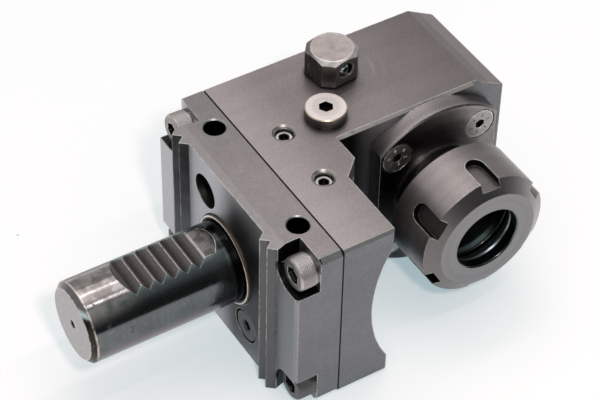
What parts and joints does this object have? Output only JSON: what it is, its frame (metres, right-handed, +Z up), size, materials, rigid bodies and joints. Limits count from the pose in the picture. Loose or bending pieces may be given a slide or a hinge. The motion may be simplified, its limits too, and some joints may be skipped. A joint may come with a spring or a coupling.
{
  "type": "collet chuck holder",
  "caption": "Right-angle collet chuck holder: toothed round shank, serrated base plate, L-shaped block, slotted clamping nut and a turning coolant nozzle.",
  "frame": {"origin": "on the shank's axis, in the plane of the base plate's main front face", "axes": "-X out along the shank, -Y out of the clamping nut, +Z up with the part lying on its bottom face"},
  "size_m": [0.1462, 0.0772, 0.0674],
  "materials": {
    "ground_black_steel": "ground round and blackened, glossy, worn brown on the teeth",
    "plate_steel": "blackened steel, fine milled, satin",
    "block_steel": "blackened steel, face milled, satin, bright at the edges",
    "chuck_steel": "blackened steel, turned, satin",
    "nut_steel": "blackened steel, turned, satin, bright at the edges",
    "ring_steel": "turned steel, glossy",
    "cap_screw_steel": "grey steel, knurled head",
    "countersunk_steel": "dark steel, glossy",
    "bright_steel": "bright steel",
    "collar_steel": "turned bright steel, satin",
    "washer_steel": "dark washer",
    "nozzle_steel": "blackened steel with a worn bright crown",
    "ball_steel": "polished steel",
    "insert_steel": "satin steel",
    "plug_steel": "blackened steel",
    "inner_steel": "ground steel",
    "seal_rubber": "brown-grey rubber, matt"
  },
  "bodies": {
    "base": {"shank": "ground_black_steel", "base_plate": "plate_steel", "shank_seal": "seal_rubber", "coolant_insert": "insert_steel", "transfer_seal": "seal_rubber", "alignment_key": "inner_steel", "shank_pin": "inner_steel"},
    "head": {"block": "block_steel", "chuck": "chuck_steel", "chuck_pin": "inner_steel", "collar_plug": "collar_steel", "plug_washer": "washer_steel", "nozzle_pin": "inner_steel", "cap_screw_1": "cap_screw_steel", "cap_screw_2": "cap_screw_steel", "cap_screw_3": "cap_screw_steel", "cap_screw_4": "cap_screw_steel", "countersunk_screw_1": "countersunk_steel", "countersunk_screw_2": "countersunk_steel", "countersunk_screw_3": "countersunk_steel", "countersunk_screw_4": "countersunk_steel", "channel_plug_1": "plug_steel", "channel_plug_2": "plug_steel", "channel_plug_3": "plug_steel", "channel_plug_4": "plug_steel"},
    "adjuster_1": {"adjusting_screw_1": "bright_steel"},
    "adjuster_2": {"adjusting_screw_2": "bright_steel"},
    "nozzle": {"nozzle_body": "nozzle_steel", "nozzle_seal": "seal_rubber"},
    "ball": {"nozzle_ball": "ball_steel"},
    "carrier": {"slip_ring": "ring_steel"},
    "nut": {"clamping_nut": "nut_steel"}
  },
  "joints": [
    {"name": "block_swivel", "type": "hinge", "parent": "base", "child": "head", "pos_m": [0.015, 0, 0], "axis": [1, 0, 0], "range_deg": [-0.5, 0.5]},
    {"name": "adjusting_screw_1_travel", "type": "slide", "parent": "head", "child": "adjuster_1", "axis": [0, 0, -1], "range_m": [-0.0001, 0.0001]},
    {"name": "adjusting_screw_2_travel", "type": "slide", "parent": "head", "child": "adjuster_2", "axis": [0, 0, -1], "range_m": [-0.0001, 0.0001]},
    {"name": "nut_travel", "type": "slide", "parent": "head", "child": "carrier", "axis": [0, -1, 0], "range_m": [-0.0009, 0.0105]},
    {"name": "nut_turn", "type": "hinge", "parent": "carrier", "child": "nut", "pos_m": [0.07, -0.0321, 0], "axis": [0, -1, 0], "range_deg": [-216, 2520]},
    {"name": "nozzle_turn", "type": "hinge", "parent": "head", "child": "nozzle", "pos_m": [0.0518, 0.0266, 0.029], "axis": [0, 0, 1], "continuous": true},
    {"name": "ball_tilt", "type": "hinge", "parent": "nozzle", "child": "ball", "pos_m": [0.05226, 0.02253, 0.0342], "axis": [0.9936, 0.1132, 0], "range_deg": [-12, 12]}
  ],
  "couplings": [
    {"joint": "nut_travel", "follows": "nut_turn", "m_per_rad": 0.00023873},
    {"joint": "adjusting_screw_1_travel", "follows": "block_swivel", "m_per_rad": 0.0108},
    {"joint": "adjusting_screw_2_travel", "follows": "block_swivel", "m_per_rad": -0.0108}
  ]
}
